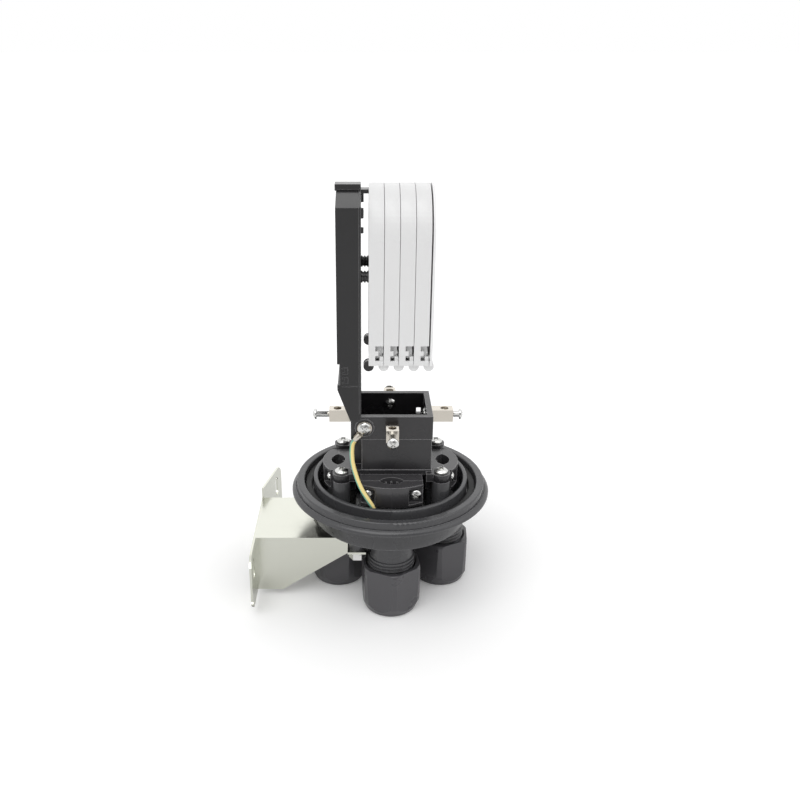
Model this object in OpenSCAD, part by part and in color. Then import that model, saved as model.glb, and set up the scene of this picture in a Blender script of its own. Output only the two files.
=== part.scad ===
// Dome splice closure, open: the round base with its four cable ports, the inner
// frame, the slack carrier, four hinged splice trays with a lid, and the mounting
// bracket.  Millimetres, +Z up.  The origin lies on the base's axis at the height of
// the lip on which the dome sits.

/* [Base] */
// Diameter over the flange
flange_d = 180; // [176:1:190]
// Height of the flange's rim
flange_t = 5.6; // [4.5:0.1:7]
// Width of the flange outside the raised lip
rim_w = 4; // [3:0.5:5]
// Width of the raised lip
lip_w = 7.5; // [6:0.5:9]
// Height of the lip above the flange
lip_h = 6.3; // [5:0.1:8]
// Width of the seal's channel
channel_w = 8.2; // [7:0.2:9]
// Thickness of the inner ring wall
ring_wall = 4.1; // [3:0.1:4.6]
// Height of the ring wall above the lip
ring_rise = 3.3; // [2:0.1:6]
// Height of the skirt below the flange
skirt_h = 23.8; // [20:0.2:30]
// Thickness of the base's floor
floor_t = 5; // [4:0.5:7]

/* [Cable ports] */
// Distance of the four port axes from the ring wall
port_inset = 18.2; // [17:0.1:19]
// Diameter over the port's thread
neck_d = 42; // [40:0.5:43]
// Bore of the port
port_bore = 31; // [28:0.5:32]
// Depth of the port's thread
thread_depth = 1.7; // [1.2:0.1:2]
// Pitch of the port's thread
thread_pitch = 3.6; // [3:0.2:4]
// Length of port that shows above its nut
neck_show = 24; // [22:0.5:30]
// Length of port inside its nut
neck_in_nut = 23; // [18:0.5:26]
// Height of a gland nut
nut_h = 45; // [42:0.5:50]
// Width of a gland nut across its flats
nut_flats = 49.6; // [48.6:0.2:52]
// Cable hole in the rubber gland seal
seal_bore = 17.5; // [12:0.5:20]

/* [Cable clamps] */
// Height of a cable clamp
clamp_h = 19.6; // [17:0.2:22]
// Half length of the front and back clamps
clamp_long = 27; // [25:0.5:28]
// Half length of the side clamps
clamp_short = 21.2; // [20:0.2:21.6]
// Length of the pointed cable hole
eye_l = 21.5; // [18:0.5:24]
// Width of the pointed cable hole
eye_w = 12.5; // [10:0.5:14]
// Room between the side clamps and the ring wall
clamp_room = 4.7; // [3.5:0.1:6]

/* [Frame] */
// Length of the frame's box, left to right
box_l = 71; // [68:0.5:74]
// Depth of the frame's box, front to back
box_d = 59.4; // [58:0.2:61]
// Height of the upper box
box_h = 21.6; // [20:0.2:28]
// Height of the column under the box
column_h = 29.4; // [24:0.2:36]
// Thickness of the box's walls
box_wall = 5; // [4:0.2:6]
// Thickness of the frame's foot plate
plate_t = 4.4; // [3.5:0.1:6]
// Distance of the fixing screws from the box's left and right sides
boss_out = 8.2; // [7.5:0.1:9]
// Distance of the fixing screws from the box's front and back
boss_past = 0.9; // [0.7:0.1:1.7]
// Diameter of the bosses that carry the frame
boss_d = 16; // [15:0.2:16.4]

/* [Strength-member posts] */
// Width of a post
post_w = 10.8; // [10:0.2:14]
// Height of a post
post_h = 11; // [10:0.2:13]
// Length of a post
post_l = 19.5; // [17:0.5:22]
// Hole for the strength member
post_hole = 7; // [5:0.5:8]

/* [Carrier] */
// Thickness of the slack carrier, left to right
carrier_t = 19.8; // [17:0.2:22]
// Width of the slack carrier, front to back
carrier_w = 76; // [72:1:80]
// Height of the slack carrier
carrier_h = 192; // [180:0.5:200]
// Gap between the carrier and the first tray
carrier_gap = 6.3; // [5:0.1:8]
// How far the carrier stands in over the box's left side
carrier_in = 9; // [8:0.1:10.5]
// Distance of the two spacer pegs from the middle
peg_y = 26.6; // [22:0.2:28]

/* [Trays] */
// Distance from one tray to the next
tray_pitch = 12.4; // [12:0.1:14]
// Width of a tray, front to back
tray_w = 78.4; // [74:0.5:84]
// Height of a tray
tray_h = 142; // [136:0.5:148]
// Wall and floor of a tray
tray_wall = 2; // [1.6:0.1:2.4]
// Height of the hinge above the frame's rim
hinge_rise = 49; // [46:0.5:60]
// Diameter of a hinge barrel
barrel_d = 8.6; // [8:0.1:9.4]
// Diameter of a hinge pin
pin_d = 4.8; // [4:0.1:5]
// Distance of the hinge barrels from the middle of the tray
hinge_y = 33.6; // [28:0.2:34]

/* [Bracket] */
// Thickness of the bracket's sheet
sheet_t = 2; // [1.5:0.1:2.5]
// Reach of the bracket to the left of the axis
bracket_reach = 124; // [110:1:130]
// Half width of the bracket's plate
bracket_half = 37; // [36:0.5:40]
// Gap between the plate and the base's floor
bracket_drop = 8; // [6:0.5:10]
// Distance of the bracket's bolts from the axis, to the left
bolt_x = 30; // [29:0.5:31]
// Distance of the bracket's bolts from the foot of the skirt
bolt_inset = 9.1; // [8:0.1:11]
// Reach of the near ear
near_ear = 35; // [30:0.5:45]
// Reach of the far ear
far_ear = 53; // [45:0.5:60]
// Distance of an ear's slot from its tip
ear_slot = 15; // [12:0.5:18]

/* [Earth lead] */
// Diameter of the earth wire
wire_d = 4; // [3.4:0.2:5.4]

/* [Hidden] */
$fn = 96;
fine = 32;
eps = 0.01;
running = 0.05;      // radial clearance of a pin in its hook
free_gap = 0.4;      // gap between pieces that move past each other

// Colours
shell_black = "#4A4A4C";
frame_black = "#363436";
nut_black = "#545356";
rubber_black = "#242424";
zinc = "#DADAD6";
nickel = "#D2CFC8";
steel = "#D5D6CC";
tray_grey = "#D8D8D6";
lead_yellow = "#EBDD8A";

// Radii of the base
flange_r = flange_d / 2;
lip_outer_r = flange_r - rim_w;
lip_inner_r = lip_outer_r - lip_w;
ring_outer_r = lip_inner_r - channel_w;
ring_inner_r = ring_outer_r - ring_wall;
skirt_top_r = ring_outer_r + 1.7;
skirt_low_r = ring_outer_r - 0.3;
port_r = ring_inner_r - port_inset;
boss_x = box_l / 2 + boss_out;
boss_y = box_d / 2 + boss_past;
bolt_y = sqrt(pow(skirt_low_r - bolt_inset, 2) - pow(bolt_x, 2));

// Heights, counted up from the ground under the nuts
z_seat = 0;
z_flange_top = z_seat - lip_h;
z_flange = z_flange_top - flange_t;
z_base = z_flange - skirt_h;
z_floor = z_base + floor_t;
z_nut_top = z_base - neck_show;
z_ground = z_nut_top - nut_h;
z_neck_end = z_nut_top - neck_in_nut;
port_rim = 3;
z_ring = z_seat + ring_rise;
z_channel = z_flange + 2;
seal_h = 5.2;
z_clamp = z_seat - 2.7;
z_plate = z_clamp + clamp_h;
z_column = z_plate + plate_t;
z_box = z_column + column_h;
z_rim = z_box + box_h;
z_post = (z_box + z_rim) / 2 + 0.8;
z_hinge = z_rim + hinge_rise;
z_tray = z_hinge + 1;
z_ear = z_plate - 4.6;
ear_t = 7.5;

// The gland inside a nut
nut_bore = neck_d + 2 * 0.35;
nut_floor = 5;
nut_mouth = 26;
washer_t = 2;
z_washer = z_ground + nut_floor + 0.3;
z_seal = z_washer + washer_t;

// Screws: head diameter, head height, shank diameter
m6 = [12, 4.2, 6];
m5 = [9.6, 3.4, 5];
m3 = [5.6, 2, 3];
// Least wall past a post's cross hole, and room between a clamp screw's head and its post
post_tip = 2.9;
head_gap = 0.5;

// Ports by their angle round the axis, front first
FRONT = -90;
LEFT = 180;
BACK = 90;
RIGHT = 0;
PORTS = [FRONT, LEFT, BACK, RIGHT];
function is_side(a) = (a == LEFT) || (a == RIGHT);
function clamp_half(a) = is_side(a) ? clamp_short : clamp_long;
function half_box(a) = is_side(a) ? box_l / 2 : box_d / 2;
// A clamp fills the room between the box's side and the ring wall
clamp_depth = ring_inner_r - box_l / 2 - clamp_room;
jaw_inner = clamp_depth * 6 / 13;
jaw_reach = clamp_depth - jaw_inner;
function split_r(a) = half_box(a) + jaw_inner;
function screw_off(a) = clamp_half(a) - 6.4;
// Turn of each nut's corners, as it was left by hand
function nut_turn(a) = (a == FRONT) ? 6 : (a == RIGHT) ? 26 : (a == LEFT) ? -4 : 0;

// The trays stand to the right of the carrier
carrier_x1 = -box_l / 2 + carrier_in;
carrier_x0 = carrier_x1 - carrier_t;
tray_x0 = carrier_x1 + carrier_gap;
tray_t = tray_pitch - free_gap;
function tray_x(i) = tray_x0 + (i - 1) * tray_pitch;
tray_r = tray_w / 2;
z_tray_top = z_tray + tray_h;
hook_l = 3.6;
cheek_t = 2;
hook_gap = 0.3;
barrel_l = hook_l + 2 * hook_gap + 2 * cheek_t;

// ---------------------------------------------------------------- helpers

// Cylinder along X from x = 0
module rod_x(d, l, n = fine) {
    rotate([0, 90, 0])
        cylinder(d = d, h = l, $fn = n);
}

// Cylinder along Y from y = 0
module rod_y(d, l, n = fine) {
    rotate([-90, 0, 0])
        cylinder(d = d, h = l, $fn = n);
}

// Rectangle with round corners, centred
module round_rect(w, h, r) {
    square([w - 2 * r, h], center = true);
    square([w, h - 2 * r], center = true);
    for (x = [-1, 1], y = [-1, 1])
        translate([x * (w / 2 - r), y * (h / 2 - r)])
            circle(r, $fn = fine);
}

// Slot with round ends along the first axis, centred
module slot(l, w) {
    square([l - w, w], center = true);
    for (x = [-1, 1])
        translate([x * (l - w) / 2, 0])
            circle(d = w, $fn = fine);
}

// Places its children at the port with angle a, with +X pointing outwards
module at_port(a) {
    rotate([0, 0, a])
        children();
}

// Pan-head screw with a cross recess: the head stands on z = 0, the shank goes down
module pan_screw(size, shank_l) {
    head_r = size[0] / 2;
    head_h = size[1];
    dome = head_h * 0.6;
    recess = size[0] * 0.5;
    difference() {
        union() {
            cylinder(r = head_r, h = head_h - dome, $fn = fine);
            translate([0, 0, head_h - dome])
                intersection() {
                    scale_r = (head_r * head_r + dome * dome) / (2 * dome);
                    translate([0, 0, dome - scale_r])
                        sphere(scale_r, $fn = 64);
                    cylinder(r = head_r, h = dome, $fn = fine);
                }
            translate([0, 0, -shank_l])
                cylinder(d = size[2], h = shank_l + eps, $fn = fine);
        }
        for (turn = [45, 135])
            rotate([0, 0, turn])
                translate([-recess / 2, -size[0] * 0.07, head_h * 0.45])
                    cube([recess, size[0] * 0.14, head_h]);
    }
}

// ---------------------------------------------------------------- base

// Half section of the base shell
module base_section() {
    round_r = 1.4;
    difference() {
        union() {
            polygon([[0, z_base], [skirt_low_r - 2, z_base], [skirt_low_r, z_base + 2],
                     [skirt_top_r, z_flange], [0, z_flange]]);
            // flange with a tapered underside and a blunt rim
            polygon([[0, z_flange - 3], [skirt_top_r, z_flange - 3],
                     [flange_r - 3, z_flange], [flange_r, z_flange + 1.4],
                     [flange_r, z_flange + 2.8], [flange_r - 1.2, z_flange_top - 1.2],
                     [lip_outer_r + 0.6, z_flange_top], [lip_outer_r, z_flange_top - 0.7],
                     [lip_outer_r - 0.5, z_flange_top - 0.7], [0, z_flange_top - 0.7]]);
            // raised lip
            translate([lip_inner_r, z_flange])
                square([lip_w - 0.5, z_seat - z_flange - round_r]);
            translate([lip_inner_r + round_r, z_flange])
                square([lip_w - 0.5 - 2 * round_r, z_seat - z_flange]);
            for (r = [lip_inner_r + round_r, lip_outer_r - 0.5 - round_r])
                translate([r, z_seat - round_r])
                    circle(round_r, $fn = fine);
            // inner ring wall
            translate([ring_inner_r, z_base])
                square([ring_wall, z_ring - z_base - round_r]);
            translate([ring_inner_r + round_r, z_base])
                square([ring_wall - 2 * round_r, z_ring - z_base]);
            for (r = [ring_inner_r + round_r, ring_outer_r - round_r])
                translate([r, z_ring - round_r])
                    circle(round_r, $fn = fine);
        }
        // bowl
        translate([-1, z_floor])
            square([ring_inner_r + 1, z_ring - z_floor + 1]);
        // seal channel
        translate([ring_outer_r, z_channel])
            square([channel_w, z_seat - z_channel + 1]);
    }
}

// Port: threaded neck below the floor and a low rim above it
module port_tube() {
    core_r = neck_d / 2 - thread_depth;
    crest = thread_pitch * 0.25;
    foot = thread_pitch * 0.7;
    threads = floor((neck_in_nut + neck_show * 0.5) / thread_pitch);
    translate([port_r, 0, 0]) {
        translate([0, 0, z_neck_end])
            cylinder(r = core_r, h = z_floor + port_rim - z_neck_end);
        for (i = [0 : threads - 1])
            translate([0, 0, z_neck_end + (i + 0.5) * thread_pitch])
                rotate_extrude()
                    polygon([[core_r - 1, -foot / 2], [core_r, -foot / 2],
                             [neck_d / 2, -crest / 2], [neck_d / 2, crest / 2],
                             [core_r, foot / 2], [core_r - 1, foot / 2]]);
    }
}

// Two pillars that carry a clamp above the floor
module clamp_pillars(a) {
    for (side = [-1, 1])
        translate([split_r(a) - 11.5, side * (clamp_half(a) - 4.7), z_floor - 1])
            cylinder(d = 9, h = z_clamp - z_floor + 1, $fn = 48);
}

// Boss with a screw hole for the frame's ear
module frame_boss() {
    translate([0, 0, z_floor - 1])
        cylinder(d = boss_d, h = z_ear - z_floor + 1);
}

module base_body() {
    color(shell_black)
    difference() {
        union() {
            rotate_extrude($fn = 128)
                base_section();
            for (a = PORTS)
                at_port(a) {
                    port_tube();
                    clamp_pillars(a);
                }
            for (x = [-boss_x, boss_x], y = [-boss_y, boss_y])
                translate([x, y, 0]) frame_boss();
            // feet that hold the bracket off the floor
            for (y = [-bolt_y, bolt_y])
                translate([-bolt_x, y, z_base - bracket_drop])
                    cylinder(d = 14, h = bracket_drop + 1);
            // ribs across the floor
            for (turn = [45, 135])
                rotate([0, 0, turn])
                    translate([-ring_inner_r + 1, -1.5, z_floor - 1])
                        cube([2 * ring_inner_r - 2, 3, 7]);
        }
        for (a = PORTS)
            at_port(a)
                translate([port_r, 0, z_neck_end - 1])
                    cylinder(d = port_bore, h = z_floor + port_rim - z_neck_end + 2);
        for (x = [-boss_x, boss_x], y = [-boss_y, boss_y])
            translate([x, y, z_ear - 16])
                cylinder(d = m6[2], h = 17, $fn = fine);
        for (y = [-bolt_y, bolt_y])
            translate([-bolt_x, y, z_base - bracket_drop - 1])
                cylinder(d = 8, h = bracket_drop + 4, $fn = fine);
    }
}

// Rubber ring lying in the channel
module seal_ring() {
    inner_gap = 1;
    outer_gap = 0.3;
    seal_w = channel_w - inner_gap - outer_gap;
    color(rubber_black)
    rotate_extrude($fn = 128)
        translate([ring_outer_r + inner_gap + seal_w / 2, z_channel + seal_h / 2])
            round_rect(seal_w, seal_h, 1.6);
}

// ---------------------------------------------------------------- glands

// Hexagon whose corners are cut by a circle, turned round at its lower end
module gland_nut(a) {
    corner_d = nut_flats / cos(30) - 1.8;
    lower_d = nut_flats - 1.6;
    turned = 4;
    color(nut_black)
    at_port(a)
    translate([port_r, 0, z_ground])
    rotate([0, 0, nut_turn(a)])
    difference() {
        intersection() {
            cylinder(d = nut_flats / cos(30), h = nut_h, $fn = 6);
            rotate_extrude()
                polygon([[0, 0], [lower_d / 2 - 2.6, 0], [lower_d / 2 - 0.8, 0.8],
                         [lower_d / 2, 2.8], [corner_d / 2 - 0.6, turned + 6],
                         [corner_d / 2, nut_h - 2], [corner_d / 2 - 1.6, nut_h],
                         [0, nut_h]]);
        }
        translate([0, 0, nut_floor])
            cylinder(d = nut_bore, h = nut_h);
        translate([0, 0, -1])
            cylinder(d = nut_mouth, h = nut_h);
        translate([0, 0, nut_h - 1.5])
            cylinder(d1 = nut_bore, d2 = nut_bore + 3.2, h = 1.6);
    }
}

// Rubber plug with a cable hole, seated in the end of the port
module gland_seal(a) {
    plug_d = port_bore - 0.6;
    flange = neck_d - 2 * thread_depth;
    color(rubber_black)
    at_port(a)
    translate([port_r, 0, 0])
    difference() {
        union() {
            translate([0, 0, z_seal])
                cylinder(d = flange, h = z_neck_end - z_seal);
            translate([0, 0, z_neck_end - eps])
                cylinder(d = plug_d, h = 9);
        }
        translate([0, 0, z_seal - 1])
            cylinder(d = seal_bore, h = z_neck_end - z_seal + 12);
    }
}

module gland_washers() {
    color(frame_black)
    for (a = PORTS)
        at_port(a)
            translate([port_r, 0, z_washer])
                difference() {
                    cylinder(d = neck_d - 1, h = washer_t);
                    translate([0, 0, -1])
                        cylinder(d = seal_bore + 4, h = washer_t + 2);
                }
}

// ---------------------------------------------------------------- cable clamps

// Pointed cable hole: where two equal circles overlap
module cable_eye(a) {
    half_l = eye_l / 2;
    half_w = eye_w / 2;
    arc_r = (half_l * half_l + half_w * half_w) / (2 * half_w);
    translate([split_r(a), 0, z_clamp - 1])
        intersection_for (side = [-1, 1])
            translate([side * (arc_r - half_w), 0, 0])
                cylinder(r = arc_r, h = clamp_h + 2);
}

// Screws through both jaws, clear of the eye
module jaw_screw_holes(a, d) {
    for (side = [-1, 1])
        translate([split_r(a) - 14, side * screw_off(a), z_clamp + clamp_h / 2])
            rod_x(d, 30);
}

module inner_jaw(a) {
    half = clamp_half(a);
    depth = split_r(a) - half_box(a) + 4.2;
    color(frame_black)
    at_port(a)
    difference() {
        translate([split_r(a) - depth, -half, z_clamp])
            cube([depth, 2 * half, clamp_h]);
        // the eye, less three teeth that bite into the cable
        difference() {
            cable_eye(a);
            for (y = [-5, 0, 5])
                translate([split_r(a) - 7.6, y - 0.7, z_clamp + clamp_h - 7])
                    cube([3.8, 1.4, 3.2]);
        }
        jaw_screw_holes(a, m5[2]);
    }
}

// Outer jaw: a bulging front between two lugs, on a thin foot that follows the ring
module outer_jaw(a) {
    half = clamp_half(a);
    sag = jaw_reach * 0.54;
    arc_r = (half * half + sag * sag) / (2 * sag);
    front = split_r(a) + jaw_reach;
    lug = 6.5;
    bulge_half = screw_off(a) - 6;
    color(frame_black)
    at_port(a)
    difference() {
        intersection() {
            translate([split_r(a), -half, z_clamp])
                cube([jaw_reach, 2 * half, clamp_h]);
            translate([front - arc_r, 0, z_clamp])
                cylinder(r = arc_r, h = clamp_h, $fn = 160);
        }
        cable_eye(a);
        jaw_screw_holes(a, m5[2] + 0.4);
        // pockets over the two lugs, open at the top and outwards
        for (side = [-1, 1])
            translate([split_r(a) + lug, side > 0 ? bulge_half : -half - 1,
                       z_clamp + 2.2])
                cube([jaw_reach, half - bulge_half + 1, clamp_h - 5]);
    }
}

module jaw_screws() {
    color(zinc)
    for (a = PORTS, side = [-1, 1])
        at_port(a)
            translate([split_r(a) + 6.5, side * screw_off(a), z_clamp + clamp_h / 2])
                rotate([0, 90, 0])
                    pan_screw(m5, 18);
}

// ---------------------------------------------------------------- frame

// Ear that reaches from the foot plate to a boss
module frame_ear(x, y) {
    sx = sign(x);
    sy = sign(y);
    translate([x, y, z_ear]) {
        cylinder(d = boss_d, h = ear_t, $fn = fine * 2);
        translate([sx > 0 ? -boss_d : 0, sy > 0 ? -boss_d / 2 : -boss_d / 2 + 4, 0])
            cube([boss_d, boss_d - 4, ear_t]);
    }
}

module support_frame() {
    notch_x = 9.5;
    notch_y = 12;
    notch_wall = 2.5;
    rim = 1.2;
    color(frame_black)
    difference() {
        union() {
            // foot plate, column and box
            translate([-box_l / 2, -box_d / 2, z_plate])
                cube([box_l, box_d, plate_t]);
            translate([-box_l / 2 + 0.6, -box_d / 2 + 0.6, z_column - eps])
                cube([box_l - 1.2, box_d - 1.2, column_h + 1]);
            translate([-box_l / 2, -box_d / 2, z_box])
                cube([box_l, box_d, box_h]);
            // ears, tied to the column by a short web
            for (x = [-boss_x, boss_x], y = [-boss_y, boss_y])
                intersection() {
                    frame_ear(x, y);
                    translate([sign(x) > 0 ? box_l / 2 - box_wall : -boss_x - boss_d,
                               -box_d, z_ear])
                        cube([boss_x + boss_d - box_l / 2 + box_wall, 2 * box_d, ear_t]);
                }
            // ring boss behind the earth screw
            translate([-box_l / 2 + 11.9, -box_d / 2 - rim, z_post])
                rod_y(16.5, rim + 1, 64);
        }
        // hollow inside, less the walls round the open corner
        difference() {
            translate([-box_l / 2 + box_wall, -box_d / 2 + box_wall, z_column])
                cube([box_l - 2 * box_wall, box_d - 2 * box_wall,
                      column_h + box_h + 1]);
            translate([-box_l / 2, -box_d / 2, z_column - 1])
                cube([notch_x + notch_wall, notch_y + notch_wall,
                      column_h + 1 + notch_wall]);
        }
        // corner left open for the earth lead
        translate([-box_l / 2 - 1, -box_d / 2 - 1, z_column])
            cube([notch_x + 1, notch_y + 1, column_h]);
        // window in the back wall
        translate([box_l / 2 - box_wall - 6.4, box_d / 2 - box_wall - 1, z_box + 1])
            cube([4.2, box_wall + 2, 6]);
        // screw holes of the ears
        for (x = [-boss_x, boss_x], y = [-boss_y, boss_y])
            translate([x, y, z_ear - 1])
                cylinder(d = m6[2] + 0.6, h = ear_t + 2, $fn = fine);
        // screw holes of the posts and of the earth screw
        for (a = PORTS)
            at_port(a)
                translate([half_box(a) - box_wall - 1, 0, z_post])
                    rod_x(m5[2], box_wall + 2);
        translate([-box_l / 2 + 11.9, -box_d / 2 - rim - 1, z_post])
            rod_y(m6[2], box_wall + 2);
    }
}

module frame_screws() {
    color(zinc)
    for (x = [-boss_x, boss_x], y = [-boss_y, boss_y])
        translate([x, y, z_ear + ear_t])
            pan_screw(m6, ear_t + 14);
}

// ---------------------------------------------------------------- posts

// The cross hole lies above the port's cable hole, so that a straight rod reaches it
function post_hole_at(a) = max(post_l * 0.62,
    port_r - (seal_bore - post_hole) / 2 - half_box(a));

// A post is long enough to leave a wall past its cross hole
function post_len(a) = max(post_l, post_hole_at(a) + post_hole / 2 + post_tip);

// Nickel-plated block with a cross hole for the strength member
module strength_post(a) {
    hole_at = post_hole_at(a);
    color(nickel)
    at_port(a)
    translate([half_box(a), 0, z_post])
    difference() {
        translate([0, -post_w / 2, -post_h / 2])
            cube([post_len(a), post_w, post_h]);
        translate([hole_at, 0, -post_h])
            cylinder(d = post_hole, h = 2 * post_h, $fn = fine);
        translate([-1, 0, 0])
            rod_x(m5[2], 7);
        translate([hole_at, 0, 0])
            rod_x(m5[2] + 0.4, post_len(a));
    }
}

module post_fixing_screws() {
    color(zinc)
    for (a = PORTS)
        at_port(a)
            translate([half_box(a) - box_wall, 0, z_post])
                rotate([0, -90, 0])
                    pan_screw(m5, box_wall + 5);
}

// Two clamp screws are backed out to clear the hole, two cross it
function clamp_tip(a) = post_hole_at(a) + (a == LEFT || a == FRONT
    ? post_hole / 2 + 0.2 : -post_hole / 2 + 1.4);

// Backed out, the left screw's head still stays inside the dome, and the screws
// that cross their holes keep their heads off the posts
module post_clamp_screws() {
    screw_l = max(ring_outer_r - 0.5 - m5[1] - half_box(LEFT) - clamp_tip(LEFT),
        max([for (a = PORTS) post_len(a) - clamp_tip(a)]) + head_gap);
    color(zinc)
    for (a = PORTS)
        at_port(a)
            translate([half_box(a) + clamp_tip(a) + screw_l, 0, z_post])
                rotate([0, 90, 0])
                    pan_screw([m5[0], m5[1], m5[2] + 0.4], screw_l);
}

// ---------------------------------------------------------------- earth lead

earth_x = -box_l / 2 + 11.9;
earth_y = -box_d / 2 - 1.2;
lug_t = 1.2;
// Foot of the terminal in which the lead ends
stud = [-neck_d / 2 - 3.5, -port_r - 4, z_floor];

module earth_screw() {
    color(zinc)
    translate([earth_x, earth_y - lug_t, z_post])
        rotate([90, 0, 0])
            pan_screw([11.4, 3.6, m6[2]], lug_t + 6);
}

// Ring lug with its barrel pointing down and to the left
module earth_lug() {
    color(nickel)
    translate([earth_x, earth_y, z_post])
        rotate([0, 38, 0])
            difference() {
                union() {
                    translate([0, -lug_t, 0])
                        rod_y(12.6, lug_t, 48);
                    translate([-2.6, -lug_t, -12])
                        cube([5.2, lug_t, 10]);
                    translate([0, -lug_t - 2.2, -13])
                        cylinder(d = wire_d + 1.2, h = 7, $fn = fine);
                }
                translate([0, -lug_t - 1, 0])
                    rod_y(m6[2] + 0.2, lug_t + 2);
            }
}

// Screw terminal that takes the lead's lower end, on the base's floor
module earth_terminal() {
    color(nickel)
    translate(stud)
        cylinder(d = 9, h = 5, $fn = 6);
}

// The lead's own points: the upper ones count from the lug's eye, the lower ones from
// the terminal's foot
lead = concat(
    [for (p = [[-8.2, -3.4, -10.4], [-10, -3.6, -12.7], [-10.8, -5.5, -17],
               [-10.8, -9.1, -22.6], [-10, -12.6, -28.2], [-8.2, -16.6, -33.8],
               [-5.6, -21.1, -40.2]])
        [earth_x, earth_y, z_post] + p],
    [for (p = [[-1.3, -4, 46.5], [3.1, -7.4, 40.1], [7.3, -8.8, 33.7],
               [9.1, -8.8, 27.7], [8.1, -7.4, 21.7], [4.5, -4.6, 15.7], [0.9, -1, 10.7],
               [0, 0, 7.7], [0, 0, 5.3]])
        stud + p]);

function unit(v) = v / norm(v);
function lead_dir(i) = unit(lead[min(i + 1, len(lead) - 1)] - lead[max(i - 1, 0)]);
function lead_ring(i, n) =
    let (d = lead_dir(i), u = unit(cross(d, [0, 1, 0.2])), v = cross(d, u))
    [for (k = [0 : n - 1])
        lead[i] + wire_d / 2 * (cos(360 * k / n) * u + sin(360 * k / n) * v)];

module earth_wire() {
    n = 8;
    last = len(lead) - 1;
    points = [for (i = [0 : last]) each lead_ring(i, n)];
    sides = [for (i = [0 : last - 1], k = [0 : n - 1])
        [i * n + k, i * n + (k + 1) % n, (i + 1) * n + (k + 1) % n, (i + 1) * n + k]];
    ends = [[for (k = [n - 1 : -1 : 0]) k], [for (k = [0 : n - 1]) last * n + k]];
    color(lead_yellow)
        polyhedron(points, concat(sides, ends), convexity = 6);
}

// ---------------------------------------------------------------- carrier

foot_z = z_rim;
carrier_z1 = z_rim + carrier_h;

// Outline of the carrier seen from the front
module carrier_side() {
    polygon([[carrier_x0, carrier_z1], [carrier_x0, foot_z + 28],
             [-box_l / 2 - 0.4, foot_z], [carrier_x1, foot_z],
             [carrier_x1, carrier_z1]]);
}

// Outline of the carrier seen from the side
cap_half = 7;
cap_h = 4.2;

module carrier_face(inset = 0) {
    half = carrier_w / 2 - inset;
    flat = cap_half + 1 - inset * 0.3;
    top = carrier_z1 - cap_h - inset;
    shoulder = top - 9.1;
    polygon([[-half, foot_z + inset], [-half, shoulder], [-flat, top], [flat, top],
             [half, shoulder], [half, foot_z + inset]]);
}

// Turns an outline in Y and Z into a slab between two x values
module slab_x(x0, x1) {
    translate([x0, 0, 0])
        rotate([90, 0, 90])
            linear_extrude(x1 - x0)
                children();
}

module slack_carrier() {
    wall = 3;
    tongue_t = 3.6;
    color(frame_black)
    difference() {
        union() {
            intersection() {
                slab_x(carrier_x0, carrier_x1) carrier_face();
                translate([0, carrier_w, 0])
                    rotate([90, 0, 0])
                        linear_extrude(2 * carrier_w)
                            carrier_side();
            }
            // rim round the tray side
            slab_x(carrier_x1 - 1.6, carrier_x1)
                difference() {
                    carrier_face(-0.5);
                    translate([-carrier_w, foot_z - 2])
                        square([2 * carrier_w, 8]);
                }
            // cap along the top edge
            translate([carrier_x0 - 1.2, -cap_half, carrier_z1 - cap_h - 1])
                cube([carrier_t + 1.2, 2 * cap_half, cap_h + 1]);
            // latch tabs beside the tray side, and catches near the foot
            for (side = [-1, 1]) {
                for (z = [[17.4, 8], [30.6, 4.6]])
                    translate([carrier_x1 - 1, side > 0 ? carrier_w / 2 - 2 : -carrier_w / 2,
                               carrier_z1 - z[0] - z[1] / 2])
                        cube([3.2, 2, z[1]]);
                for (z = [34, 42.4])
                    translate([carrier_x0 + 4, side > 0 ? carrier_w / 2 - 1 : -carrier_w / 2 - 1,
                               foot_z + z])
                        difference() {
                            cube([5, 2, 5.6]);
                            translate([-1, -1, 1.6])
                                cube([3, 4, 2.4]);
                        }
                translate([carrier_x0 + 4, side > 0 ? carrier_w / 2 - 1 : -carrier_w / 2 - 0.8,
                           foot_z + 30.4])
                    cube([carrier_t - 7, 1.8, 1.2]);
            }
            // two tongues down inside the box
            for (side = [-1, 1])
                translate([-box_l / 2 + box_wall + 0.1, side * 13 - 4.5, z_rim - 14])
                    cube([tongue_t, 9, 18]);
        }
        // hollow, open to the left
        slab_x(carrier_x0 - 1, carrier_x1 - 3)
            difference() {
                carrier_face(wall);
                translate([-carrier_w, foot_z - 1])
                    square([2 * carrier_w, 30]);
            }
        // side walls set back behind the catches
        translate([carrier_x0 - 1, -carrier_w, foot_z + 32.4])
            cube([3.2, 2 * carrier_w, 18.4]);
        // seats of the two peg screws
        for (y = [-peg_y, peg_y])
            translate([carrier_x1 - 4, y, z_peg])
                rod_x(m3[2], 6);
    }
}

module carrier_screws() {
    color(zinc)
    for (y = [-peg_y, peg_y])
        translate([carrier_x1 - 3, y, z_peg])
            rotate([0, -90, 0])
                pan_screw(m3, 7);
}

z_peg = z_tray + 72;

// Two ribbed pegs that space the first tray from the carrier
module spacer_pegs() {
    color(frame_black)
    for (y = [-peg_y, peg_y])
        translate([carrier_x1, y, z_peg])
            difference() {
                union() {
                    rod_x(8, carrier_gap, 48);
                    for (i = [0 : 2])
                        translate([i * (carrier_gap - 1.3) / 2, 0, 0])
                            rod_x(9.6, 1.3, 48);
                    rod_x(m3[2], carrier_gap + tray_wall);
                }
                translate([-1, 0, 0])
                    rod_x(m3[2], 5.2);
            }
}

// Clip that holds the first tray's top to the carrier
module top_clip() {
    z_clip = z_tray_top - 7.5;
    color(frame_black)
    translate([carrier_x1, -6, z_clip])
        cube([carrier_gap, 12, 3.2]);
}

// ---------------------------------------------------------------- trays

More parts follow.
